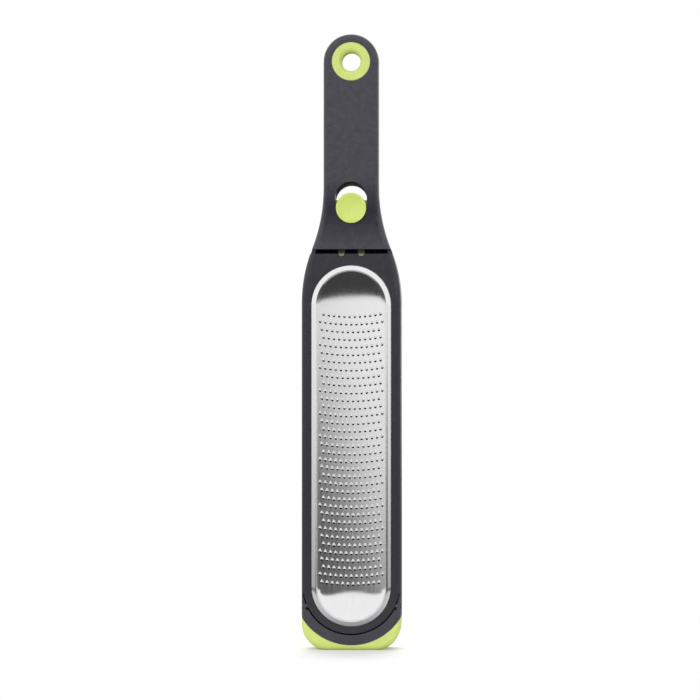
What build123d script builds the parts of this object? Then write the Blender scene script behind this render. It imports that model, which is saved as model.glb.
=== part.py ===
from build123d import *
import os
from math import acos, asin, atan, cos, degrees, radians, sin, sqrt, tan

# Rasp zester that stands on its foot: +Z runs up the tool, -Y is the grating side, +X is the
# right-hand side seen from the grating side. Depths are measured back from the plane of the
# blade frame's front face. Lengths are in millimetres.

# Lengths along the tool: from the foot to the frame's top edge, and from there to the top
frame_top = 197.1
handle_length = 109.1

# Outline seen from the grating side
handle_width = 27.4
body_width = 49.4
neck_above = 33.5
neck_radius = 84.5
shoulder_radius = 72.0
foot_corner_radius = 12.8

# Depths of the body seen from the side; its steps start above or below the frame's top edge
tray_depth = 22.8
handle_depth = 13.5
handle_rise = 2.2
rise_above = 5.5
rise_length = 32.0
back_step_below = 25.1
back_step_length = 44.0
front_edge_radius = 2.5
back_edge_radius = 3.6

# Walls and clearances
wall = 2.0
shell_wall = 2.2
sliding_clearance = 0.3
seam_gap = 0.7
overrun = 5.0

# Blade frame, its hinge and the recess that takes it; heights at its round end are drops
# below that end's centre
neck_gap = 2.3
frame_depth = 6.0
frame_margin = 0.85
frame_end_centre = 32.0
frame_step_drop = 4.0
rim_gap = 0.4
hinge_drop = 10.0
hinge_depth = 1.95
pin_radius = 0.9
pin_fit = 0.04
pin_length = 5.0
pin_recess = 0.3
knuckle_radius = 1.8
knuckle_relief_radius = 2.7
ear_thickness = 2.1

# Grating plate
frame_border = 4.0
plate_bottom_drop = 0.4
plate_top_below = 25.6
sheet = 0.45
bead_width = 2.85
bead_rise = 0.9
dish_sag = 2.0
dish_facets = 6
lip_depth = 1.8
flange_width = 1.25
plate_clearance = 0.1

# Teeth
row_pitch = 3.81
first_row_above = 1.0
row_smile = 1.55
row_half_width = 16.5
tooth_pitch = 2.58
tooth_radius = 0.8
tooth_length = 1.9
tooth_seat = 0.2
tooth_tip_radius = 0.08
tooth_opening_width = 0.7
tooth_opening_height = 1.0
tooth_opening_below = 0.55
tooth_opening_reach = 0.4

# Plate retainer behind the plate
retainer_overlap = 1.95
retainer_depth = 2.6

# Hang hole
hang_from_top = 13.6
hang_bore_radius = 4.7
grommet_radius = 9.5
grommet_flare = 2.05
grommet_inset = 0.1
grommet_waist_radius = 10.6
grommet_waist = 2.0
handle_end_block = 12.4

# Release slider in the handle; its heights are above or below the frame's top edge
button_radius = 7.5
button_above = 22.8
button_travel = 3.6
button_front_depth = -1.7
button_back_recess = 0.5
button_dish = 0.7
button_dish_radius = 6.4
slot_clearance = 0.375
slot_length = 20.85
back_slot_drop = 1.6
slot_collar = 1.2
plate_depth = 4.6
slider_thickness = 1.8
wing_gap = 1.3
web_below_slot = 1.0
slider_wing_height = 8.0
prong_spacing = 9.8
prong_width = 3.4
prong_dip = 2.5
nose_dip = 1.2
nose_height = 1.4
nose_width = 2.5
nose_depth = 1.4
shoulder_above = 7.1
shoulder_thickness = 2.0
shoulder_half_depth = 2.1
shoulder_overhang = 1.4
split_depth = 3.9
strike_height = 4.0
strike_depth = 8.7
strike_half = 8.4

# Latch springs
spring_radius = 2.0
spring_wire = 0.45
spring_turns = 4.5
spring_length = 6.4
spring_offset = 9.3
spring_abutment = 1.6

# Handle cavity, back cover and its screws
cavity_above = 4.5
cover_above = 3.5
cover_wall = 2.0
upper_screw_below_block = 12.2
middle_screw_above_slot = 11.1
lower_screw_above = 10.1
screw_radius = 1.0
screw_head_radius = 2.0
screw_head_height = 1.2
screw_head_recess = 0.3
screw_length = 6.5
screw_boss_radius = 2.4
screw_boss_end = 7.5
screw_seat_radius = 3.2
screw_fit = 0.02
screw_socket_radius = 0.75
screw_socket_depth = 0.8

# Foot
cap_rim = 5.05
cap_drop = 0.65
foot_tongue = 1.2
foot_tongue_width = 6.0
foot_tongue_top = 16.9

# Places worked out from the sizes above
overall_length = frame_top + handle_length
half_handle = handle_width / 2
half_body = body_width / 2
frame_plane = (handle_rise - tray_depth) / 2
top_centre = overall_length - half_handle
neck_top = frame_top + neck_above
neck_angle = degrees(acos(1 - (half_body - half_handle) / (neck_radius + shoulder_radius)))
shoulder_top = neck_top - (neck_radius + shoulder_radius) * sin(radians(neck_angle))
foot_half = half_body - foot_corner_radius
rise_bottom = frame_top + rise_above
back_step_bottom = frame_top - back_step_below
handle_back_depth = handle_depth - handle_rise
frame_end_radius = half_body - frame_margin
frame_step = frame_end_centre - frame_step_drop
hinge_height = frame_end_centre - hinge_drop
recess_radius = frame_end_radius + seam_gap
recess_depth = frame_depth + rim_gap
plate_radius = frame_end_radius - frame_border
plate_bottom_centre = frame_end_centre - plate_bottom_drop
plate_top_centre = frame_top - plate_top_below
frame_bore = plate_radius + plate_clearance
flange_radius = plate_radius + flange_width
rebate_radius = flange_radius + plate_clearance
retainer_bore_radius = plate_radius - retainer_overlap
inner_back_depth = handle_back_depth - cover_wall
button_height = frame_top + button_above
slot_half = button_radius + slot_clearance
slot_bottom = button_height - slot_half
slot_top = slot_bottom + slot_length
bead_radius = bead_width / 2
dish_edge_depth = bead_radius - bead_rise
rim_inner = plate_radius - bead_width
dish_radius = (rim_inner ** 2 + dish_sag ** 2) / (2 * dish_sag)
first_row = plate_bottom_centre + first_row_above
rows_height = plate_top_centre - first_row - row_smile - tooth_length
row_count = int(rows_height / row_pitch) + 1
long_row_teeth = 2 * int((rim_inner - tooth_radius) / tooth_pitch) + 1
gap_top = frame_top + neck_gap
hang_height = overall_length - hang_from_top
cavity_bottom = frame_top + cavity_above
cavity_top = hang_height - handle_end_block
cover_bottom = frame_top + cover_above
ear_inner = half_body - ear_thickness
screw_heights = (cavity_top - upper_screw_below_block, slot_top + middle_screw_above_slot,
                 frame_top + lower_screw_above)
slider_wing = half_handle - shell_wall - wing_gap
shoulder_reach = slider_wing + shoulder_overhang
shoulder_height = frame_top + shoulder_above
prong_tip = frame_top - prong_dip
nose_bottom = frame_top - nose_dip
prong_far_depth = plate_depth + slider_thickness
strike_bottom = frame_top - strike_height
cap_radius = frame_end_radius + cap_rim
cap_centre = frame_end_centre - cap_drop
sheet_back = lip_depth + sheet


def prism(outline, near_depth, far_depth):
    """Extrudes an XZ outline from one depth behind the frame plane to another."""
    start = Plane.XZ.offset(-(frame_plane + near_depth))
    return extrude(start * outline, -(far_depth - near_depth))


def block(half_width, low, high, near_depth, far_depth, middle=0.0):
    """A box across the tool, given by its half width, heights and depths."""
    size = (2 * half_width, far_depth - near_depth, high - low)
    place = (middle, frame_plane + (near_depth + far_depth) / 2, (low + high) / 2)
    return Pos(*place) * Box(*size)


def post(radius, height, near_depth, far_depth, across=0.0):
    """A cylinder along Y between two depths."""
    middle = (across, frame_plane + (near_depth + far_depth) / 2, height)
    return Pos(*middle) * Rot(90, 0, 0) * Cylinder(radius, far_depth - near_depth)


def stadium(radius, low_centre, high_centre):
    """An upright slot outline in XZ."""
    middle = (low_centre + high_centre) / 2
    straight = Rectangle(2 * radius, high_centre - low_centre)
    ends = [Pos(0, centre) * Circle(radius) for centre in (low_centre, high_centre)]
    return Pos(0, middle) * straight + ends[0] + ends[1]


def body_outline(inset=0.0):
    """The outline from the grating side, drawn inset by a wall where asked."""
    bottom = JernArc((foot_half, 0), (1, 0), foot_corner_radius, 90)
    side = Line(bottom @ 1, (half_body, shoulder_top))
    shoulder = JernArc(side @ 1, (0, 1), shoulder_radius, neck_angle)
    flare = JernArc(shoulder @ 1, shoulder % 1, neck_radius, -neck_angle)
    grip = Line(flare @ 1, (half_handle, top_centre))
    right = [bottom, side, shoulder, flare, grip]
    left = [mirror(edge, about=Plane.YZ) for edge in right]
    top = CenterArc((0, top_centre), half_handle, 0, 180)
    base = Line((-foot_half, 0), (foot_half, 0))
    face = make_face([base, *right, top, *left])
    return offset(face, -inset) if inset else face


def step_curve(start, rise, length):
    """Two equal tangent arcs that carry an upright line over by rise within length."""
    angle = degrees(2 * atan(rise / length))
    radius = length / (2 * sin(radians(angle)))
    first = JernArc(start, (0, 1), radius, angle)
    return [first, JernArc(first @ 1, first % 1, radius, -angle)]


def side_profile():
    """The profile from the side, in Y and Z."""
    tray_back = frame_plane + tray_depth
    front = Line((frame_plane, 0), (frame_plane, rise_bottom))
    rise = step_curve(front @ 1, handle_rise, rise_length)
    handle_front = Line(rise[1] @ 1, (frame_plane - handle_rise, overall_length))
    back = Line((tray_back, 0), (tray_back, back_step_bottom))
    step = step_curve(back @ 1, tray_depth - handle_back_depth, back_step_length)
    handle_back = Line(step[1] @ 1, (frame_plane + handle_back_depth, overall_length))
    top = Line(handle_front @ 1, handle_back @ 1)
    base = Line(front @ 0, back @ 0)
    return make_face([front, *rise, handle_front, top, handle_back, *step, back, base])


def outer_block():
    """The whole outer form of body and foot, before it is parted."""
    outline = prism(body_outline(), -handle_rise - overrun, tray_depth + overrun)
    profile = extrude(Plane.YZ * side_profile(), half_body + overrun, both=True)
    solid = outline & profile
    front = [edge for edge in rim_edges(solid) if (edge @ 0.5).Y < frame_plane + split_depth]
    solid = fillet(front, front_edge_radius)
    back = frame_plane + handle_back_depth - sliding_clearance
    return fillet([edge for edge in rim_edges(solid) if (edge @ 0.5).Y > back], back_edge_radius)


def rim_edges(solid):
    """The edges around the front and back faces, without those that cross the tool."""
    around = solid.edges().filter_by(Axis.Y, reverse=True)
    return [edge for edge in around
            if edge.center().Z < foot_corner_radius or not is_across(edge)]


def is_across(edge):
    """True for a straight edge that runs along X."""
    return edge.geom_type == GeomType.LINE and abs((edge % 0.5).X) > cos(radians(1))


def ended_band(radius, low, high):
    """A band up to a height, as wide as a half circle that ends it below."""
    band = Pos(0, (frame_end_centre + high) / 2)
    straight = band * Rectangle(2 * radius, high - frame_end_centre)
    return straight + Pos(0, frame_end_centre) * Circle(radius)


def framed_band(radius, step, high):
    """The frame's place: full width above a step, a half circle of radius below it."""
    wide = Pos(0, (step + high) / 2) * Rectangle(body_width + 2 * overrun, high - step)
    return wide + Pos(0, frame_end_centre) * Circle(radius)


def slot_outline(margin=0.0, drop=0.0):
    """The button's slot through the handle, grown by a margin and with its top lowered."""
    return stadium(slot_half + margin, slot_bottom + slot_half, slot_top - slot_half - drop)


def foot_region():
    """Everything below the cap's round edge."""
    near = -handle_rise - overrun
    far = tray_depth + overrun
    low = block(half_body + overrun, -overrun, cap_centre, near, far)
    return low - post(cap_radius, cap_centre, near - overrun, far + overrun)


def foot_tongue_ring():
    """The ridge of the foot that sits in the cap's groove."""
    near = (tray_depth - foot_tongue_width) / 2
    far = near + foot_tongue_width
    ring = post(cap_radius, cap_centre, near, far)
    ring -= post(cap_radius - foot_tongue, cap_centre, near, far)
    return ring & block(foot_half, 0, foot_tongue_top, near, far)


def tray_cavity():
    """The hollow that catches the zest, with a rounded floor."""
    far = tray_depth + overrun
    plan = prism(body_outline(wall), -handle_rise, far)
    section = extrude(Plane.YZ * offset(side_profile(), -wall), half_body, both=True)
    end = prism(ended_band(recess_radius, 0, gap_top), -handle_rise, far)
    return plan & section & end


def prong_bars(width, low, high, near_depth, far_depth):
    """A bar on each prong's centre line."""
    return [block(width / 2, low, high, near_depth, far_depth, side * prong_spacing / 2)
            for side in (-1, 1)]


def hinge_bars(radius, inner, outer):
    """A cylinder along X on the hinge line, one on each side."""
    bar = Rot(0, 90, 0) * Cylinder(radius, outer - inner)
    place = frame_plane + hinge_depth
    return [Pos(side * (inner + outer) / 2, place, hinge_height) * bar for side in (-1, 1)]


def handle_hollow(near_depth, far_depth, low=cavity_bottom):
    """The hollow of the handle between two depths."""
    inner = prism(body_outline(shell_wall), near_depth, far_depth)
    return inner & block(half_body, low, cavity_top, near_depth, far_depth)


def prong_channels():
    """The channels in the neck's end wall that the prongs slide in."""
    high = cavity_bottom + sliding_clearance
    return prong_bars(prong_width + 2 * sliding_clearance, frame_top, high,
                      plate_depth - sliding_clearance, prong_far_depth + sliding_clearance)


def nose_channels():
    """The channels that take the prongs' noses when the button is pushed up."""
    high = nose_bottom + nose_height + button_travel + sliding_clearance
    return prong_bars(nose_width + 2 * sliding_clearance, frame_top, high,
                      nose_depth - sliding_clearance, plate_depth)


def grommet_space():
    """The hole that the grommet fills, with its waist."""
    through = post(grommet_radius, hang_height, -handle_rise - overrun, handle_depth + overrun)
    near = split_depth - grommet_waist / 2
    return through + post(grommet_waist_radius, hang_height, near, near + grommet_waist)


def main_body(outer):
    """Front half of the handle, neck, tray and end cap, in one moulding."""
    near = -handle_rise - overrun
    frame_place = framed_band(recess_radius, frame_step - sliding_clearance, gap_top)
    solid = outer - foot_region() - foot_tongue_ring()
    solid -= prism(frame_place, near, recess_depth)
    solid -= tray_cavity()
    solid -= block(half_body + overrun, cover_bottom, overall_length + overrun, split_depth,
                   tray_depth + overrun)
    solid -= handle_hollow(shell_wall, split_depth)
    solid -= handle_hollow(shell_wall - handle_rise, split_depth, rise_bottom + rise_length)
    collar_end = plate_depth - sliding_clearance
    collar = prism(slot_outline(slot_collar), shell_wall / 2, collar_end)
    bosses = [post(screw_boss_radius, height, front_wall_depth(height), screw_boss_end)
              for height in screw_heights]
    spring_top = shoulder_height + spring_length
    abutments = [block(spring_radius + sliding_clearance, spring_top,
                       spring_top + spring_abutment, shell_wall / 2,
                       prong_far_depth + spring_radius / 2, side * spring_offset)
                 for side in (-1, 1)]
    solid = solid.fuse(collar, *bosses, *abutments)
    solid -= prism(slot_outline(), near, handle_depth)
    solid -= grommet_space()
    screw_tip = screw_seat_depth() - screw_length
    cores = [post(screw_radius + screw_fit, height, screw_tip - screw_radius, screw_boss_end)
             for height in screw_heights]
    relief = hinge_bars(knuckle_relief_radius, ear_inner - ear_thickness, ear_inner)
    bores = hinge_bars(pin_radius, ear_inner, half_body + overrun)
    return solid.cut(*cores, *relief, *bores, *prong_channels(), *nose_channels())


def front_wall_depth(height):
    """The middle of the handle's front wall at a height, behind the frame plane."""
    raised = height > rise_bottom + rise_length
    return shell_wall / 2 - (handle_rise if raised else 0)


def screw_seat_depth():
    """How deep a cover screw's head sits."""
    return handle_back_depth - screw_head_recess - screw_head_height


def handle_back_cover(outer):
    """Back half of the handle, screwed on from behind."""
    far = handle_back_depth + overrun
    solid = outer & block(half_body + overrun, cover_bottom, overall_length + overrun,
                          split_depth, tray_depth + overrun)
    solid -= handle_hollow(split_depth, inner_back_depth)
    collar = prism(slot_outline(slot_collar), prong_far_depth + sliding_clearance,
                   handle_back_depth - wall / 2)
    seats = [post(screw_seat_radius, height, screw_boss_end, handle_back_depth - wall / 2)
             for height in screw_heights]
    solid = solid.fuse(collar, *seats)
    solid -= prism(slot_outline(drop=back_slot_drop), 0, tray_depth)
    solid -= grommet_space()
    seat = screw_seat_depth()
    holes = [post(screw_radius + screw_fit, height, screw_boss_end - overrun, seat)
             for height in screw_heights]
    heads = [post(screw_head_radius + plate_clearance, height, seat, far + overrun)
             for height in screw_heights]
    return solid.cut(*holes, *heads, *prong_channels(), *nose_channels())


def cover_screw(height):
    """A self-tapping screw with a six-sided socket."""
    seat = screw_seat_depth()
    shaft = post(screw_radius, height, seat - screw_length, seat)
    head = post(screw_head_radius, height, seat, seat + screw_head_height)
    socket = Pos(0, height) * RegularPolygon(screw_socket_radius, 6)
    far = seat + screw_head_height
    return shaft + head - prism(socket, far - screw_socket_depth, far + overrun)


def hang_grommet():
    """The soft ring in the hanging hole, flared at both faces."""
    near = -handle_rise + grommet_inset
    far = handle_back_depth - grommet_inset
    ring = post(grommet_radius, hang_height, near, far)
    waist_near = split_depth - grommet_waist / 2
    ring += post(grommet_waist_radius, hang_height, waist_near, waist_near + grommet_waist)
    ring -= post(hang_bore_radius, hang_height, near - overrun, far + overrun)
    rims = ring.edges().filter_by(GeomType.CIRCLE).filter_by(
        lambda edge: abs(edge.radius - hang_bore_radius) < plate_clearance)
    return fillet(rims, grommet_flare)


def release_slider():
    """Thumb button, fork and two prongs in one moulding; a web closes the slot's lower end."""
    back = handle_back_depth - button_back_recess
    button = post(button_radius, button_height, button_front_depth, back)
    dish_height = (button_dish_radius ** 2 + button_dish ** 2) / (2 * button_dish)
    centre = frame_plane + button_front_depth + button_dish - dish_height
    button -= Pos(0, centre, button_height) * Sphere(dish_height)
    wing_low = button_height - slider_wing_height / 2
    wings = block(slider_wing, wing_low, wing_low + slider_wing_height, plate_depth,
                  prong_far_depth)
    web = block(prong_spacing / 2, slot_bottom - web_below_slot, button_height, plate_depth,
                prong_far_depth)
    arms = prong_bars(prong_width, prong_tip, button_height, plate_depth, prong_far_depth)
    noses = prong_bars(nose_width, nose_bottom,
                       nose_bottom + nose_height, nose_depth, plate_depth)
    inner = (prong_spacing - prong_width) / 2
    half_reach = (shoulder_reach - inner) / 2
    middle_depth = (plate_depth + prong_far_depth) / 2
    shoulders = [block(half_reach, shoulder_height - shoulder_thickness, shoulder_height,
                       middle_depth - shoulder_half_depth, middle_depth + shoulder_half_depth,
                       side * (inner + half_reach)) for side in (-1, 1)]
    return button.fuse(wings, web, *arms, *noses, *shoulders)


def latch_spring(side):
    """A compression spring beside a prong, wound as an open helix."""
    rise = spring_length - spring_wire
    pitch = rise / spring_turns
    path = Helix(pitch, rise, spring_radius - spring_wire / 2)
    wire = Plane(path @ 0, z_dir=path % 0) * Circle(spring_wire / 2)
    coil = sweep(wire, path, is_frenet=True)
    middle_depth = (plate_depth + prong_far_depth) / 2
    return Pos(side * spring_offset, frame_plane + middle_depth,
               shoulder_height + spring_wire / 2) * coil


def blade_frame(outer):
    """The smooth black frame that carries the grating plate and swings on the pins."""
    near = -handle_rise - overrun
    solid = outer & prism(framed_band(frame_end_radius, frame_step, frame_top), near, frame_depth)
    solid += block(strike_half, strike_bottom, frame_top, frame_depth, strike_depth)
    opening = stadium(frame_bore, plate_bottom_centre, plate_top_centre)
    rebate = stadium(rebate_radius, plate_bottom_centre, plate_top_centre)
    solid -= prism(opening, near, frame_depth + overrun)
    solid -= prism(rebate, lip_depth, strike_depth + overrun)
    bore_edge = sqrt(rebate_radius ** 2 - (plate_bottom_centre - hinge_height) ** 2)
    knuckles = hinge_bars(knuckle_radius, bore_edge, ear_inner - sliding_clearance)
    solid = solid.fuse(*knuckles)
    solid -= prism(rebate, lip_depth, frame_depth)
    stems = prong_bars(prong_width + 2 * sliding_clearance, prong_tip - sliding_clearance,
                       frame_top + overrun, plate_depth - sliding_clearance,
                       prong_far_depth + sliding_clearance)
    noses = prong_bars(nose_width + 2 * sliding_clearance,
                       nose_bottom - sliding_clearance, frame_top + overrun, near,
                       plate_depth)
    bores = hinge_bars(pin_radius + pin_fit, bore_edge - overrun, ear_inner)
    return solid.cut(*stems, *noses, *bores)


def hinge_pin(side):
    """A steel pin pressed into the cap's ear."""
    outer = half_body - pin_recess
    return hinge_bars(pin_radius, outer - pin_length, outer)[0 if side < 0 else 1]


def dish_depth(across):
    """How deep the dish's front lies at a distance from its middle line."""
    return dish_edge_depth + dish_sag - (dish_radius - sqrt(dish_radius ** 2 - across ** 2))


def plate_section():
    """Half of the plate's section: dish, rounded rim, skirt and flange."""
    crest = dish_edge_depth
    inner_wall = rim_inner + sheet
    skirt = plate_radius - sheet
    rim_middle = rim_inner + bead_radius
    flange_end = plate_radius + flange_width

    def at(across, depth):
        return (across, frame_plane + depth)

    steps = [rim_inner * step / dish_facets for step in range(dish_facets + 1)]
    front = Polyline(*[at(across, dish_depth(across)) for across in steps])
    bead = ThreePointArc(at(rim_inner, crest), at(rim_middle, -bead_rise),
                         at(plate_radius, crest))
    inside = ThreePointArc(at(skirt, crest), at(rim_middle, sheet - bead_rise),
                           at(inner_wall, crest))
    rear = Polyline(*[at(across, dish_depth(across) + sheet) for across in reversed(steps)])
    outer = Polyline(at(plate_radius, crest), at(plate_radius, lip_depth),
                     at(flange_end, lip_depth), at(flange_end, sheet_back),
                     at(skirt, sheet_back), at(skirt, crest))
    inner = Polyline(at(inner_wall, crest), at(inner_wall, crest + sheet),
                     at(rim_inner, crest + sheet))
    return make_face([*front.edges(), bead, *outer.edges(), inside, *inner.edges(),
                      *rear.edges(), Line(rear @ 1, front @ 0)])


def tooth():
    """One tooth: a half cone whose open mouth faces the foot."""
    seat = (Align.CENTER, Align.CENTER, Align.MIN)
    cone = Cone(tooth_radius, tooth_tip_radius, tooth_length, align=seat)
    front = Pos(0, -tooth_radius, tooth_length / 2)
    return cone & front * Box(2 * tooth_radius, 2 * tooth_radius, tooth_length)


def tooth_opening():
    """The hole through the sheet under a tooth and in front of its mouth."""
    near = -tooth_opening_reach
    far = sheet * 2
    place = Pos(0, (near + far) / 2, tooth_opening_height / 2 - tooth_opening_below)
    return place * Box(tooth_opening_width, far - near, tooth_opening_height)


def tooth_places():
    """Rows of teeth from the foot up, a third of a pitch over each time, on shallow arcs."""
    for row in range(row_count):
        phase = row % 3 - 1
        count = long_row_teeth - abs(phase)
        shift = phase * tooth_pitch / 6
        for number in range(count):
            across = (number - (count - 1) / 2) * tooth_pitch + shift
            rise = row_smile * (across / row_half_width) ** 2
            yield across, first_row + row * row_pitch + rise


def grating_plate():
    """The pressed steel plate with its raised teeth."""
    half = plate_section()
    middle = Pos(0, 0, plate_bottom_centre) * (half + mirror(half, about=Plane.YZ))
    solid = extrude(middle, plate_top_centre - plate_bottom_centre, dir=(0, 0, 1))
    low = revolve(Pos(0, 0, plate_bottom_centre) * half,
                  Axis((0, 0, plate_bottom_centre), (0, 1, 0)), 180)
    high = revolve(Pos(0, 0, plate_top_centre) * half,
                   Axis((0, 0, plate_top_centre), (0, -1, 0)), 180)
    solid = solid.fuse(low, high)
    places = []
    for across, height in tooth_places():
        seat = Pos(across, frame_plane + dish_depth(across) + tooth_seat, height)
        places.append(seat * Rot(0, 0, degrees(asin(across / dish_radius))))
    shape = tooth()
    hole = tooth_opening()
    return solid.fuse(*[place * shape for place in places]).cut(
        *[place * hole for place in places])


def plate_retainer():
    """The ring that holds the plate's flange against the frame's lip."""
    far = sheet_back + retainer_depth
    ring = stadium(flange_radius, plate_bottom_centre, plate_top_centre)
    bore = stadium(retainer_bore_radius, plate_bottom_centre, plate_top_centre)
    return prism(ring - bore, sheet_back, far)


def end_foot(outer):
    """The soft foot that wraps the end cap."""
    return (outer & foot_region()) + foot_tongue_ring()


def write(node, solid, colour):
    """Writes one node's STEP file."""
    solid.label = node
    solid.color = Color(*colour)
    export_step(solid, os.path.join("parts", node + ".step"))


def main():
    black = (0.07, 0.07, 0.08)
    lime = (0.60, 0.78, 0.16)
    steel = (0.75, 0.76, 0.78)
    os.makedirs("parts", exist_ok=True)
    outer = outer_block()
    write("main_body", main_body(outer), black)
    write("handle_back_cover", handle_back_cover(outer), black)
    write("end_foot", end_foot(outer), lime)
    write("blade_frame", blade_frame(outer), black)
    write("hang_grommet", hang_grommet(), lime)
    write("release_slider", release_slider(), lime)
    write("plate_retainer", plate_retainer(), black)
    for name, side in (("left", -1), ("right", 1)):
        write("hinge_pin_" + name, hinge_pin(side), steel)
        write("latch_spring_" + name, latch_spring(side), steel)
    for name, height in zip(("upper", "middle", "lower"), screw_heights):
        write("cover_screw_" + name, cover_screw(height), steel)
    write("grating_plate", grating_plate(), steel)


main()
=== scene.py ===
import math

import bpy
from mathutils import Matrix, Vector
from mathutils.geometry import delaunay_2d_cdt


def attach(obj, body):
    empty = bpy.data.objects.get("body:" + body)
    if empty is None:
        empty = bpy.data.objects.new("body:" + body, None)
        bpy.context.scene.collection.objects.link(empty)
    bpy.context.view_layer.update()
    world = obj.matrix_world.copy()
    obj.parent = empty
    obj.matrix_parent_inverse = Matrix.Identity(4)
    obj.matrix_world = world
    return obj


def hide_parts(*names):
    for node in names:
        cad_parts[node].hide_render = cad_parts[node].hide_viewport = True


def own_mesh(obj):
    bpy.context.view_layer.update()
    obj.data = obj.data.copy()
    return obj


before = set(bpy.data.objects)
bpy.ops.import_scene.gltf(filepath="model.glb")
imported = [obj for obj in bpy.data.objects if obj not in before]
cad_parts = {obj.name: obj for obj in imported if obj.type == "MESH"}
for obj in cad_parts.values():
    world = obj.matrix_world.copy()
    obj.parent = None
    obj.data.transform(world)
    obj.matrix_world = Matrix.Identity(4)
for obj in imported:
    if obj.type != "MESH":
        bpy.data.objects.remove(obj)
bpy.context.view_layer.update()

MM = 0.001

# The grating plate's sizes that the CAD source has too, in millimetres. Depths count from FRONT
# towards the tray, and both ends are half circles around the two centres.
FRONT = -10.3
LOW_CENTRE = 31.6
HIGH_CENTRE = 171.5
SHEET = 0.45
RIM_INNER = 17.0
PLATE_RADIUS = 19.85
FLANGE_RADIUS = 21.1
LIP = 1.8
BEAD = 1.425

# The dish is CREST deep where the rim starts and SAG deeper in the middle. Towards its ends it
# rises by a power of the way, at the low end after a wait that is longer at the sides.
EDGE = 16.8
CREST = 0.525
SAG = 2.0
DISH_RADIUS = (RIM_INNER ** 2 + SAG ** 2) / (2 * SAG)
HIGH_POWER = 3
LOW_POWER = 2
LOW_WAIT = 0.1
LOW_ARCH = 0.4

# The rim: its height over the dish's edge, the radius of its inner roll, its lean in degrees at
# its top and further out, and the width of its turn into the skirt
RIM_RISE = 1.42
RIM_ROLL = 0.45
RIM_LEAN = 7.0
RIM_FALL = 30.0
RIM_TURN = 0.3

# The teeth: rows on shallow arcs, and one hood over one hole in each cell. Towards its tip the
# hood falls and narrows by powers of the way that is left, and HOOD_CROWD spaces its mesh rows.
# Its normals lean to the tip by HOOD_SLOPE, softened by HOOD_SOFT.
ROWS = 36
LONG_ROW = 13
ROW_PITCH = 3.81
FIRST_ROW = 32.6
SMILE = 1.55
SMILE_HALF = 16.5
PITCH = 2.58
CELL_LOW = -1.1
CELL_STEPS = 6
FIELD_BOTTOM = FIRST_ROW + CELL_LOW
HOOD_LENGTH = 0.85
HOOD_HALF = 0.56
HOOD_HEIGHT = 0.24
HOOD_FALL = 0.75
HOOD_TAPER = 0.6
HOOD_CROWD = 0.9
HOOD_SOFT = 0.12
HOOD_SLOPE = 0.45
HOOD_FAN = 4
HOOD_STEPS = 5
HOLE_LIP = ((0.6, -0.32), (0.52, -0.6), (0.28, -0.78), (0.0, -0.82),
            (-0.28, -0.78), (-0.52, -0.6), (-0.6, -0.32))
FLAT_AROUND = ((0.85, -0.2), (0.8, 0.4), (0.55, 0.85), (0.3, 1.15), (0.0, 1.4), (0.0, -0.96),
               (0.6, -0.88))

# The mesh outside the cells: how fine it is, and the gap its points keep from the cells
EDGE_TURNS = 64
EDGE_STEP = 1.9
END_RINGS = 9
FIELD_GAP = 0.4
RIM_TURNS = 96
FILLET_STEPS = 4
ROLL_STEPS = 12
TURN_STEPS = 6

# The heights in metres between which shade is painted onto the slider's prongs
SHADE_LOW = 0.197
SHADE_HIGH = 0.2085


def dish_depth(radius):
    return CREST + SAG - (DISH_RADIUS - math.sqrt(DISH_RADIUS ** 2 - radius ** 2))


def sheet_depth(x, z):
    """Depth of the dish; both ends stay flat for a while and then rise to the rim."""
    side = min(abs(x), EDGE)
    reach = math.sqrt(max(EDGE ** 2 - side ** 2, 1e-6))
    rise = dish_depth(side) - dish_depth(EDGE)
    if z > HIGH_CENTRE:
        return dish_depth(side) - rise * min((z - HIGH_CENTRE) / reach, 1.0) ** HIGH_POWER
    if z < LOW_CENTRE:
        wait = reach * (LOW_WAIT + LOW_ARCH * (side / EDGE) ** 2)
        along = max(LOW_CENTRE - z - wait, 0.0) / (reach - wait)
        return dish_depth(side) - rise * min(along, 1.0) ** LOW_POWER
    return dish_depth(side)


def dish_point(x, z):
    """Place and front normal on the dish. At the very edge the slope is taken just inside it."""
    step = 0.02
    over = max(z - HIGH_CENTRE, LOW_CENTRE - z, 0.0)
    near = 1.0
    if math.hypot(x, over) > EDGE - 2 * step:
        near = (EDGE - 2 * step) / math.hypot(x, over)
    px = x * near
    pz = z + (over * near - over) * (1 if z > HIGH_CENTRE else -1)
    across = (sheet_depth(px + step, pz) - sheet_depth(px - step, pz)) / (2 * step)
    upward = (sheet_depth(px, pz + step) - sheet_depth(px, pz - step)) / (2 * step)
    place = Vector((x, FRONT + sheet_depth(x, z), z))
    return place, Vector((across, -1.0, upward)).normalized()


def smile(x):
    return SMILE * (x / SMILE_HALF) ** 2


def hood_height(along):
    return HOOD_HEIGHT * (1 - along) ** HOOD_FALL


def hood_half(along):
    return HOOD_HALF * (1 - along) ** HOOD_TAPER


def inside(p, outline):
    hit = False
    for a, b in zip(outline, outline[1:] + outline[:1]):
        if (a.y > p.y) != (b.y > p.y) and p.x < (b.x - a.x) * (p.y - a.y) / (b.y - a.y) + a.x:
            hit = not hit
    return hit


def loop_edges(ring):
    return [(ring[i], ring[(i + 1) % len(ring)]) for i in range(len(ring))]


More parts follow.
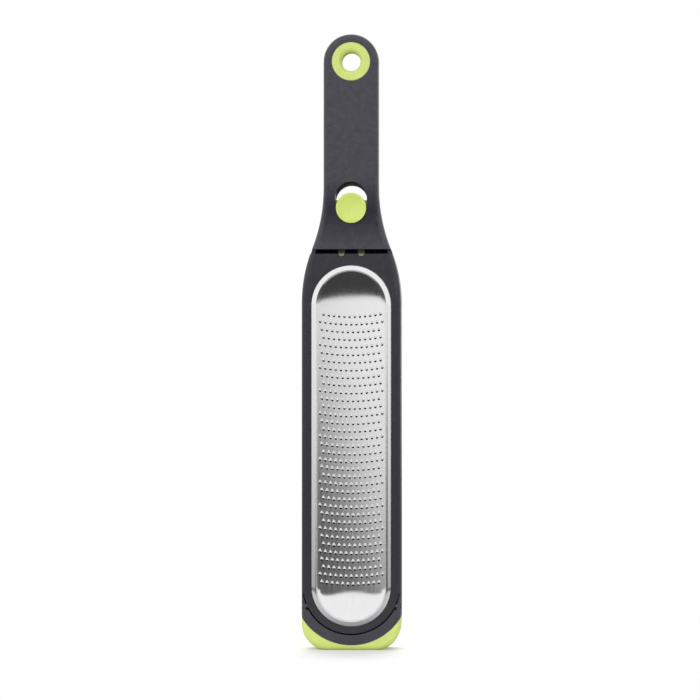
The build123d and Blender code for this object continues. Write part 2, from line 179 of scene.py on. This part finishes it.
def cell():
    """One tooth's cell: flat points, heights, tilts of the normal and triangles."""
    points, heights, tilts = [], [], []

    def add(x, v, height=0.0, tilt=(0.0, 0.0)):
        points.append(Vector((x, v)))
        heights.append(height)
        tilts.append(tilt)
        return len(points) - 1

    corners = [(-PITCH / 2, CELL_LOW), (PITCH / 2, CELL_LOW),
               (PITCH / 2, CELL_LOW + ROW_PITCH), (-PITCH / 2, CELL_LOW + ROW_PITCH)]
    ring = []
    for (ax, ay), (bx, by) in loop_edges(corners):
        for i in range(CELL_STEPS):
            ring.append(add(ax + (bx - ax) * i / CELL_STEPS, ay + (by - ay) * i / CELL_STEPS))
    edges = loop_edges(ring)

    # the hood, from its open mouth to its tip, with normals that lean sideways and to the tip
    rows = []
    for step in range(HOOD_STEPS):
        along = (step / HOOD_STEPS) ** HOOD_CROWD
        row = []
        for j in range(-HOOD_FAN, HOOD_FAN + 1):
            angle = j / HOOD_FAN * math.pi / 2
            half, height = hood_half(along), hood_height(along)
            side = math.sin(angle)
            out = math.cos(angle) * half / max(height, 1e-6) + HOOD_SOFT
            tip = HOOD_SLOPE * math.cos(angle) + HOOD_SOFT
            size = math.sqrt(side ** 2 + out ** 2 + tip ** 2)
            row.append(add(half * math.sin(angle), along * HOOD_LENGTH,
                           height * math.cos(angle), (side / size, tip / size)))
        rows.append(row)
    end = add(0.0, HOOD_LENGTH, 0.0, (0.0, 0.3))
    ridges = (0, HOOD_FAN, 2 * HOOD_FAN)
    for row in rows:
        edges += [(row[i], row[i + 1]) for i in range(2 * HOOD_FAN)]
    for low, high in zip(rows, rows[1:]):
        edges += [(low[i], high[i]) for i in ridges]
    edges += [(rows[-1][i], end) for i in ridges]

    hole = rows[0] + [add(x, v) for x, v in HOLE_LIP]
    edges += loop_edges(hole)[2 * HOOD_FAN:]
    for x, v in FLAT_AROUND:
        add(x, v)
        if x:
            add(-x, v)

    outline = [points[i] for i in hole]
    found, _, faces, origins, _, _ = delaunay_2d_cdt(points, edges, [], 0, 1e-6)
    index = [o[0] for o in origins]
    triangles = []
    for face in faces:
        middle = sum((found[i] for i in face), Vector((0.0, 0.0))) / 3
        if not inside(middle, outline):
            triangles.append([index[i] for i in face])
    return points, heights, tilts, triangles


def row_span(row):
    """The first tooth's place and the count of a row, counted from the foot."""
    phase = row % 3 - 1
    count = LONG_ROW - abs(phase)
    return -(count - 1) / 2 * PITCH + phase * PITCH / 6, count


def in_field(x, z):
    """True inside the cells of the rows."""
    row = int((z - smile(x) - FIELD_BOTTOM) // ROW_PITCH)
    if row < 0 or row >= ROWS:
        return False
    first, count = row_span(row)
    left = first - PITCH / 2
    return left < x < left + count * PITCH


def tooth_field():
    """All cells side by side: flat points, heights, tilts and triangles."""
    points, heights, tilts, triangles = cell()
    flat, rise, tilt, faces = [], [], [], []
    known = {}

    def vertex(x, z, height, lean):
        key = (round(x, 4), round(z, 4), round(height, 4))
        if key not in known:
            known[key] = len(flat)
            flat.append((x, z))
            rise.append(height)
            tilt.append(lean)
        return known[key]

    for row in range(ROWS):
        first, count = row_span(row)
        for tooth in range(count):
            x0 = first + tooth * PITCH
            z0 = FIRST_ROW + row * ROW_PITCH
            here = [vertex(x0 + p.x, z0 + p.y, h, t)
                    for p, h, t in zip(points, heights, tilts)]
            faces += [tuple(here[i] for i in t) for t in triangles]
    return [(x, z + smile(x)) for x, z in flat], rise, tilt, faces


def field_border(flat, faces):
    """The edges around the field of cells, without those around the holes."""
    uses = {}
    for face in faces:
        for a, b in zip(face, face[1:] + face[:1]):
            key = (min(a, b), max(a, b))
            uses[key] = uses.get(key, 0) + 1
    border = []
    near = 0.05
    for (a, b), count in uses.items():
        if count == 1:
            mx = (flat[a][0] + flat[b][0]) / 2
            mz = (flat[a][1] + flat[b][1]) / 2
            around = [(mx + dx, mz + dz) for dx in (-near, near) for dz in (-near, near)]
            if not all(in_field(x, z) for x, z in around):
                border.append((a, b))
    return border


def lap(turns):
    """Once around the plate: the centre of each arc and the directions from it."""
    path = []
    for centre, start in ((HIGH_CENTRE, 0.0), (LOW_CENTRE, math.pi)):
        for i in range(turns + 1):
            angle = start + math.pi * i / turns
            path.append((centre, math.cos(angle), math.sin(angle)))
    return path


def edge_line():
    """Points along the dish's edge, close enough on the straight sides too."""
    rim = [(EDGE * c, centre + EDGE * s) for centre, c, s in lap(EDGE_TURNS)]
    line = []
    for (ax, az), (bx, bz) in loop_edges(rim):
        steps = max(1, round(math.hypot(bx - ax, bz - az) / EDGE_STEP))
        line += [Vector((ax + (bx - ax) * i / steps, az + (bz - az) * i / steps))
                 for i in range(steps)]
    return line


def end_points():
    """Points on both round ends, outside the field of cells."""
    spots = []
    for centre, sign in ((HIGH_CENTRE, 1), (LOW_CENTRE, -1)):
        for ring in range(1, END_RINGS):
            radius = EDGE * ring / END_RINGS
            for i in range(1, 4 * ring):
                angle = math.pi * i / (4 * ring)
                x = radius * math.cos(angle)
                z = centre + sign * radius * math.sin(angle)
                level = z - smile(x) - FIELD_BOTTOM
                if level > ROWS * ROW_PITCH + FIELD_GAP or level < -FIELD_GAP:
                    spots.append(Vector((x, z)))
    return spots


def sheet_front():
    """The dish with its teeth: places, front normals, the dish's own normals and triangles."""
    flat, rise, tilt, faces = tooth_field()
    border = field_border(flat, faces)
    used = sorted({i for edge in border for i in edge})
    place = {i: n for n, i in enumerate(used)}
    base = len(used)
    line = edge_line()
    margin = [Vector(flat[i]) for i in used] + line + end_points()
    edges = [(place[a], place[b]) for a, b in border]
    edges += [(base + a, base + b) for a, b in loop_edges(range(len(line)))]
    found, _, extra, origins, _, _ = delaunay_2d_cdt(margin, edges, [], 0, 1e-6)
    remap = []
    for i, source in enumerate(origins):
        if source and source[0] < base:
            remap.append(used[source[0]])
        else:
            flat.append((found[i].x, found[i].y))
            rise.append(0.0)
            tilt.append((0.0, 0.0))
            remap.append(len(flat) - 1)
    for face in extra:
        mx = sum(found[i].x for i in face) / 3
        mz = sum(found[i].y for i in face) / 3
        over = max(mz - HIGH_CENTRE, 0.0) + min(mz - LOW_CENTRE, 0.0)
        if math.hypot(mx, over) < EDGE and not in_field(mx, mz):
            faces.append(tuple(remap[i] for i in face))

    places, normals, backs = [], [], []
    for (x, z), height, (side, tip) in zip(flat, rise, tilt):
        spot, normal = dish_point(x, z)
        right = Vector((-normal.y, normal.x, 0.0)).normalized()
        out = math.sqrt(max(0.0, 1 - side ** 2 - tip ** 2))
        places.append(spot + normal * height)
        normals.append((normal * out + right * side + Vector((0, 0, 1)) * tip).normalized())
        backs.append(normal)
    return places, normals, backs, faces


def angles(low, high, count):
    """Angles in radians from low to high degrees."""
    return [math.radians(low + (high - low) * i / count) for i in range(count + 1)]


def lean_over(profile, width, low, high, count):
    """Adds an arc over a width to a profile, along which it leans from low to high degrees."""
    radius, depth = profile[-1][:2]
    first, last = math.radians(low), math.radians(high)
    run = math.sin(last) - math.sin(first)
    for angle in angles(low, high, count)[1:]:
        profile.append((radius + width * (math.sin(angle) - math.sin(first)) / run,
                        depth + width * (math.cos(first) - math.cos(angle)) / run,
                        math.sin(angle), -math.cos(angle)))


def rim_front():
    """The rim from the dish to the skirt's edge: radius, depth and the normal's two parts."""
    fillet = RIM_INNER - EDGE
    start = dish_depth(EDGE)
    profile = [(EDGE + fillet * math.sin(a), start - fillet * (1 - math.cos(a)),
                -math.sin(a), -math.cos(a)) for a in angles(0, 90, FILLET_STEPS)]
    top = CREST - RIM_RISE + RIM_ROLL
    profile += [(RIM_INNER + RIM_ROLL + RIM_ROLL * math.sin(a), top - RIM_ROLL * math.cos(a),
                 math.sin(a), -math.cos(a)) for a in angles(-90, RIM_LEAN, ROLL_STEPS)]
    slope = PLATE_RADIUS - RIM_TURN - profile[-1][0]
    lean_over(profile, slope, RIM_LEAN, RIM_FALL, ROLL_STEPS)
    lean_over(profile, RIM_TURN, RIM_FALL, 90, TURN_STEPS)
    return profile + [(PLATE_RADIUS, LIP, 1.0, 0.0)]


def rim_back():
    """The inner side of the skirt and the hollow of the rim, back to the dish."""
    wall = PLATE_RADIUS - SHEET
    hollow = BEAD - SHEET
    profile = [(wall, LIP + SHEET, -1.0, 0.0), (wall, CREST, -1.0, 0.0)]
    profile += [(PLATE_RADIUS - BEAD + hollow * math.cos(a), CREST - hollow * math.sin(a),
                 -math.cos(a), math.sin(a)) for a in angles(0, 180, ROLL_STEPS)[1:]]
    return profile + [(RIM_INNER + SHEET, CREST + SHEET, 1.0, 0.0)]


def plate_mesh():
    """The whole plate as one closed skin with analytic normals."""
    verts, polys, loops = [], [], []

    def add_face(corners, face_normals):
        polys.append(corners)
        loops.extend(face_normals)

    places, normals, backs, faces = sheet_front()
    n = len(places)
    verts += places
    verts += [p - m * SHEET for p, m in zip(places, backs)]
    walls = {}
    for face in faces:
        a, b, c = (places[i] for i in face)
        if (b - a).cross(c - a).y > 0:
            face = (face[0], face[2], face[1])
        add_face(face, [normals[i] for i in face])
        back = tuple(n + i for i in reversed(face))
        add_face(back, [-normals[i - n] for i in back])
        for a, b in zip(face, face[1:] + face[:1]):
            if (b, a) in walls:
                del walls[(b, a)]
            else:
                walls[(a, b)] = True
    for a, b in walls:
        flat = (verts[a] - verts[b]).cross(verts[n + a] - verts[b])
        flat = flat.normalized() if flat.length > 1e-12 else Vector((0, 0, 1))
        add_face((b, a, n + a, n + b), [flat] * 4)

    path = lap(RIM_TURNS)

    def strip(section):
        """A profile taken once around the plate."""
        base = len(verts)
        for centre, c, s in path:
            for radius, depth, _, _ in section:
                verts.append(Vector((radius * c, FRONT + depth, centre + radius * s)))
        m = len(section)
        for i in range(len(path)):
            k = (i + 1) % len(path)
            for j in range(m - 1):
                corners = ((i, j), (i, j + 1), (k, j + 1), (k, j))
                face_normals = []
                for turn, spot in corners:
                    _, c, s = path[turn]
                    _, _, outward, forward = section[spot]
                    normal = Vector((outward * c, forward, outward * s))
                    face_normals.append(normal.normalized())
                add_face(tuple(base + turn * m + spot for turn, spot in corners), face_normals)

    back = LIP + SHEET
    strip(rim_front())
    strip([(PLATE_RADIUS, LIP, 0.0, -1.0), (FLANGE_RADIUS, LIP, 0.0, -1.0)])
    strip([(FLANGE_RADIUS, LIP, 1.0, 0.0), (FLANGE_RADIUS, back, 1.0, 0.0)])
    strip([(FLANGE_RADIUS, back, 0.0, 1.0), (PLATE_RADIUS - SHEET, back, 0.0, 1.0)])
    strip(rim_back())
    strip([(RIM_INNER + SHEET, CREST + SHEET, 0.0, 1.0),
           (EDGE, dish_depth(EDGE) + SHEET, 0.0, 1.0)])

    mesh = bpy.data.meshes.new("plate_visual")
    mesh.from_pydata([tuple(v * MM) for v in verts], [], polys)
    mesh.update()
    mesh.normals_split_custom_set([tuple(v) for v in loops])
    return mesh


def link(obj):
    bpy.context.scene.collection.objects.link(obj)
    return obj


class Nodes:
    """A short way to write a material's node tree."""

    def __init__(self, name):
        self.material = bpy.data.materials.new(name)
        self.material.use_nodes = True
        self.tree = self.material.node_tree
        self.shader = next(n for n in self.tree.nodes if n.type == "BSDF_PRINCIPLED")

    def add(self, kind, **values):
        node = self.tree.nodes.new(kind)
        for key, value in values.items():
            if hasattr(node, key):
                setattr(node, key, value)
            else:
                node.inputs[key.replace("_", " ")].default_value = value
        return node

    def join(self, source, target):
        self.tree.links.new(source, target)

    def noise(self, scale, detail=2.0, stretch=None, rough=0.5):
        spot = self.add("ShaderNodeTexCoord").outputs["Object"]
        if stretch:
            mapping = self.add("ShaderNodeMapping", Scale=stretch)
            self.join(spot, mapping.inputs["Vector"])
            spot = mapping.outputs["Vector"]
        texture = self.add("ShaderNodeTexNoise", Scale=scale, Detail=detail, Roughness=rough)
        self.join(spot, texture.inputs["Vector"])
        return texture.outputs["Fac"]

    def ramp(self, source, stops):
        node = self.add("ShaderNodeValToRGB")
        band = node.color_ramp
        for element, (position, colour) in zip(band.elements, (stops[0], stops[-1])):
            element.position, element.color = position, (*colour, 1)
        for position, colour in stops[1:-1]:
            band.elements.new(position).color = (*colour, 1)
        self.join(source, node.inputs["Fac"])
        return node.outputs["Color"]

    def range(self, source, low, high, start=0.0, end=1.0):
        node = self.add("ShaderNodeMapRange", From_Min=start, From_Max=end, To_Min=low,
                        To_Max=high)
        self.join(source, node.inputs["Value"])
        return node.outputs["Result"]

    def bump(self, source, strength, distance):
        node = self.add("ShaderNodeBump", Strength=strength, Distance=distance)
        self.join(source, node.inputs["Height"])
        self.join(node.outputs["Normal"], self.shader.inputs["Normal"])

    def set(self, **values):
        for key, value in values.items():
            self.shader.inputs[key.replace("_", " ")].default_value = value


def plastic(name, dark, light, rough, patch, grain, depth, ior=1.5):
    """A moulded plastic: cloudy between two tones, with a fine grain of a depth in metres."""
    m = Nodes(name)
    m.set(IOR=ior)
    cloud = m.noise(patch, detail=5.0, rough=0.62)
    m.join(m.ramp(cloud, ((0.3, dark), (0.7, light))), m.shader.inputs["Base Color"])
    m.join(m.range(cloud, rough + 0.05, rough - 0.05, start=0.3, end=0.7),
           m.shader.inputs["Roughness"])
    m.bump(m.noise(grain, detail=3.0), strength=0.3, distance=depth)
    return m


def steel(name, dark, light, rough, stretch, depth):
    """A bare steel with streaks, which a stretch below 1 draws out along that axis."""
    m = Nodes(name)
    m.set(Metallic=1.0)
    streaks = m.noise(900.0, detail=3.0, stretch=stretch)
    m.join(m.ramp(streaks, ((0.35, dark), (0.65, light))), m.shader.inputs["Base Color"])
    m.join(m.range(streaks, rough - 0.03, rough + 0.03), m.shader.inputs["Roughness"])
    m.bump(streaks, strength=0.04, distance=depth)
    return m


def paint_prong_shade(m):
    """Paints shade on the slider's prongs: dim below the frame's top edge, deep up to the neck.
    """
    height = m.add("ShaderNodeSeparateXYZ")
    m.join(m.add("ShaderNodeTexCoord").outputs["Object"], height.inputs["Vector"])
    # painted shade: a deep tone where the prongs cross the neck gap, a dim blue-grey below the
    # frame's edge
    dark = (0.06, 0.06, 0.1)
    shade = m.ramp(m.range(height.outputs["Z"], 0.0, 1.0, start=SHADE_LOW, end=SHADE_HIGH),
                   ((0.0, (0.35, 0.33, 0.5)), (0.05, dark), (0.8, dark), (1.0, (1.0, 1.0, 1.0))))
    mix = m.add("ShaderNodeMix", data_type="RGBA", blend_type="MULTIPLY")
    mix.inputs[0].default_value = 1.0
    colour = m.shader.inputs["Base Color"]
    m.join(colour.links[0].from_socket, mix.inputs[6])
    m.join(shade, mix.inputs[7])
    m.join(mix.outputs[2], colour)


handle_black = plastic("handle_black", (0.014, 0.0125, 0.021), (0.029, 0.026, 0.041),
                       rough=0.29, patch=420.0, grain=2400.0, depth=0.00005, ior=1.7)
frame_black = plastic("frame_black", (0.008, 0.0074, 0.0125), (0.013, 0.012, 0.0195),
                      rough=0.30, patch=300.0, grain=2000.0, depth=0.000006, ior=1.6)
lime_plastic = plastic("lime_plastic", (0.57, 0.69, 0.15), (0.62, 0.74, 0.18),
                       rough=0.34, patch=250.0, grain=1500.0, depth=0.000006)
lime_rubber = plastic("lime_rubber", (0.57, 0.68, 0.17), (0.62, 0.73, 0.21),
                      rough=0.44, patch=250.0, grain=1800.0, depth=0.00001)
# Shade is painted onto the slider's prongs in the lime plastic
paint_prong_shade(lime_plastic)
for soft in (lime_plastic, lime_rubber):
    soft.set(Subsurface_Weight=0.08, Subsurface_Scale=0.001)
plate_steel = steel("plate_steel", (0.82, 0.82, 0.83), (0.85, 0.85, 0.86),
                    rough=0.12, stretch=(1.0, 1.0, 0.06), depth=0.000001)
small_steel = steel("small_steel", (0.34, 0.34, 0.36), (0.44, 0.45, 0.47),
                    rough=0.26, stretch=(1.0, 1.0, 1.0), depth=0.000006)

# Every node that isn't named here is a screw, a pin or a spring
LOOKS = {
    "main_body": handle_black,
    "handle_back_cover": handle_black,
    "blade_frame": frame_black,
    "plate_retainer": frame_black,
    "release_slider": lime_plastic,
    "end_foot": lime_rubber,
    "hang_grommet": lime_rubber,
    "grating_plate": plate_steel,
}
for name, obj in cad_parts.items():
    obj.data.materials.clear()
    obj.data.materials.append(LOOKS.get(name, small_steel).material)

plate = link(bpy.data.objects.new("plate_visual", plate_mesh()))
plate.data.materials.append(plate_steel.material)
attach(plate, "blade")
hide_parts("grating_plate")

# The springs are drawn by copies of their own, attached to the base
for name in ("latch_spring_left", "latch_spring_right"):
    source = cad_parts[name]
    spring = link(bpy.data.objects.new(name + "_visual", source.data.copy()))
    spring.matrix_world = source.matrix_world.copy()
    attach(spring, "base")
    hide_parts(name)
    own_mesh(spring)


def area(name, place, target, size, power):
    """A soft lamp that mirrors nowhere, of a size in metres and a power in watts."""
    data = bpy.data.lights.new(name, "AREA")
    data.shape = "RECTANGLE"
    data.size, data.size_y = size
    data.energy = power
    light = link(bpy.data.objects.new(name, data))
    light.location = place
    aim = Vector(target) - Vector(place)
    light.rotation_euler = aim.to_track_quat("-Z", "Y").to_euler()
    light.visible_glossy = False


area("key_light", (-1.2, -1.5, 1.3), (0.0, 0.0, 0.15), (1.6, 1.6), 20.0)
area("fill_light", (1.6, -1.1, 0.9), (0.0, 0.0, 0.15), (1.2, 1.2), 6.0)
area("top_light", (0.0, 0.9, 1.5), (0.0, 0.0, 0.1), (1.4, 1.4), 26.0)
area("front_light", (0.0, -2.1, 0.7), (0.0, 0.0, 0.05), (1.8, 1.0), 11.0)


def make_world():
    """White for the camera, half white for soft light, and dark below the horizon in mirrors."""
    world = bpy.data.worlds.new("studio")
    world.use_nodes = True
    tree = world.node_tree
    tree.nodes.clear()

    def add(kind):
        return tree.nodes.new(kind)

    def maths(operation, a, b):
        node = add("ShaderNodeMath")
        node.operation = operation
        for slot, value in zip(node.inputs, (a, b)):
            if isinstance(value, float):
                slot.default_value = value
            else:
                tree.links.new(value, slot)
        return node.outputs["Value"]

    def ramp(value, start, end, low, high):
        node = add("ShaderNodeMapRange")
        node.interpolation_type = "SMOOTHSTEP"
        for key, number in (("From Min", start), ("From Max", end),
                            ("To Min", low), ("To Max", high)):
            node.inputs[key].default_value = number
        tree.links.new(value, node.inputs["Value"])
        return node.outputs["Result"]

    def blend(share, off, on):
        return maths("ADD", maths("MULTIPLY", maths("SUBTRACT", 1.0, share), off),
                     maths("MULTIPLY", share, on))

    path = add("ShaderNodeLightPath").outputs
    split = add("ShaderNodeSeparateXYZ")
    tree.links.new(add("ShaderNodeTexCoord").outputs["Generated"], split.inputs["Vector"])
    height, across = split.outputs["Z"], split.outputs["X"]
    slant = maths("SUBTRACT", height, maths("MULTIPLY", across, 0.05))
    ahead = ramp(slant, start=-0.05, end=-0.014, low=0.05, high=1.0)
    aside = ramp(height, start=-0.12, end=0.01, low=0.08, high=1.0)
    sideways = ramp(maths("ABSOLUTE", across, 0.0), start=0.35, end=0.6, low=0.0, high=1.0)
    mirrored = blend(sideways, ahead, aside)
    seen = maths("MAXIMUM", path["Is Glossy Ray"], path["Is Transmission Ray"])
    level = blend(path["Is Camera Ray"], blend(seen, 0.5, mirrored), 1.0)
    background = add("ShaderNodeBackground")
    background.inputs["Color"].default_value = (1, 1, 1, 1)
    tree.links.new(level, background.inputs["Strength"])
    output = add("ShaderNodeOutputWorld")
    tree.links.new(background.outputs["Background"], output.inputs["Surface"])
    bpy.context.scene.world = world


def make_floor():
    """A pale disc that fades into the white around it and looks darker in metal."""
    bpy.ops.mesh.primitive_circle_add(vertices=128, radius=0.22, fill_type="NGON",
                                      location=(0, 0, 0))
    floor = bpy.context.object
    floor.name = "floor"
    m = Nodes("floor_pale")
    m.set(Roughness=0.9, Emission_Color=(1, 1, 1, 1))
    path = m.add("ShaderNodeLightPath").outputs
    m.join(m.range(path["Is Camera Ray"], low=0.0, high=0.13),
           m.shader.inputs["Emission Strength"])
    m.join(m.ramp(path["Is Glossy Ray"], ((0.0, (0.79, 0.79, 0.79)), (1.0, (0.47, 0.47, 0.47)))),
           m.shader.inputs["Base Color"])
    floor.data.materials.append(m.material)


def make_camera():
    """The photo's view: from far ahead, a little from the right, at half the tool's height."""
    data = bpy.data.cameras.new("camera")
    data.lens = 180.0
    data.sensor_width = 36.0
    data.clip_end = 20.0
    camera = link(bpy.data.objects.new("camera", data))
    turn = math.radians(2.5)
    distance = 1.75
    camera.location = (distance * math.sin(turn) - 0.001, -distance * math.cos(turn), 0.14925)
    camera.rotation_euler = (math.pi / 2, 0.0, turn)
    bpy.context.scene.camera = camera


make_world()
make_floor()
make_camera()
bpy.context.scene.view_settings.view_transform = "Standard"
